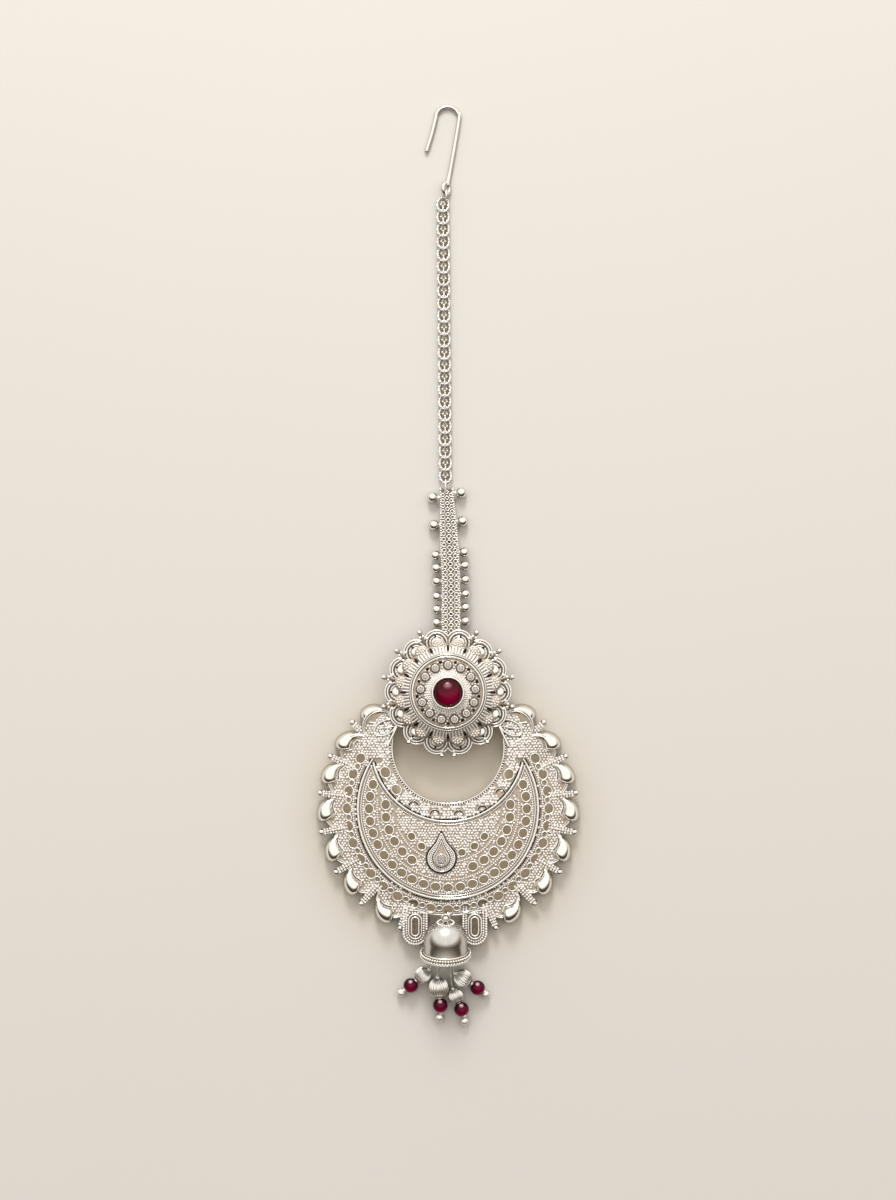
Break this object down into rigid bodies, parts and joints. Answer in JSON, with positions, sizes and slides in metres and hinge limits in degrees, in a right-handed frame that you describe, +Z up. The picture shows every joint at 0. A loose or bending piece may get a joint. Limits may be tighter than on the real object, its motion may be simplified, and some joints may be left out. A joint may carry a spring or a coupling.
{
  "type": "maang tikka",
  "caption": "Silver forehead jewel lying flat: hair hook, link chain, granulated strap, red-stone rosette, pierced crescent with a shell border, and a bell with bead drops.",
  "frame": {"origin": "centre of the bounding box at its bottom, on the surface that the jewel lies on", "axes": "+Y from the bead drops towards the hair hook, +Z up out of the surface, +X to the right seen from above with the hook away"},
  "size_m": [0.0438, 0.1534, 0.0086],
  "materials": {
    "hook": "polished silver, darkened in the recesses",
    "chain": "polished silver, darkened in the recesses",
    "strap": "polished silver, darkened in the recesses",
    "rosette": "polished silver, darkened in the recesses",
    "crescent": "polished silver, darkened in the recesses",
    "bell": "polished silver, darkened in the recesses",
    "drop_silver_1": "polished silver, darkened in the recesses",
    "drop_silver_2": "polished silver, darkened in the recesses",
    "drop_silver_3": "polished silver, darkened in the recesses",
    "drop_silver_4": "polished silver, darkened in the recesses",
    "drop_pin_1": "polished silver, darkened in the recesses",
    "drop_pin_2": "polished silver, darkened in the recesses",
    "drop_pin_3": "polished silver, darkened in the recesses",
    "drop_pin_4": "polished silver, darkened in the recesses",
    "ruby": "polished deep red stone",
    "drop_ruby_1": "polished deep red stone",
    "drop_ruby_2": "polished deep red stone",
    "drop_ruby_3": "polished deep red stone",
    "drop_ruby_4": "polished deep red stone",
    "side_stone_01": "clear stone",
    "side_stone_02": "clear stone",
    "side_stone_03": "clear stone",
    "side_stone_04": "clear stone",
    "side_stone_05": "clear stone",
    "side_stone_06": "clear stone",
    "side_stone_07": "clear stone",
    "side_stone_08": "clear stone",
    "side_stone_09": "clear stone",
    "side_stone_10": "clear stone",
    "side_stone_11": "clear stone",
    "side_stone_12": "clear stone",
    "side_stone_13": "clear stone",
    "teardrop_stone": "clear stone"
  },
  "bodies": {
    "root": {"hook": "hook", "chain": "chain", "strap": "strap", "rosette": "rosette", "crescent": "crescent", "bell": "bell", "drop_silver_1": "drop_silver_1", "drop_silver_2": "drop_silver_2", "drop_silver_3": "drop_silver_3", "drop_silver_4": "drop_silver_4", "drop_pin_1": "drop_pin_1", "drop_pin_2": "drop_pin_2", "drop_pin_3": "drop_pin_3", "drop_pin_4": "drop_pin_4", "ruby": "ruby", "drop_ruby_1": "drop_ruby_1", "drop_ruby_2": "drop_ruby_2", "drop_ruby_3": "drop_ruby_3", "drop_ruby_4": "drop_ruby_4", "side_stone_01": "side_stone_01", "side_stone_02": "side_stone_02", "side_stone_03": "side_stone_03", "side_stone_04": "side_stone_04", "side_stone_05": "side_stone_05", "side_stone_06": "side_stone_06", "side_stone_07": "side_stone_07", "side_stone_08": "side_stone_08", "side_stone_09": "side_stone_09", "side_stone_10": "side_stone_10", "side_stone_11": "side_stone_11", "side_stone_12": "side_stone_12", "side_stone_13": "side_stone_13", "teardrop_stone": "teardrop_stone"}
  },
  "joints": []
}
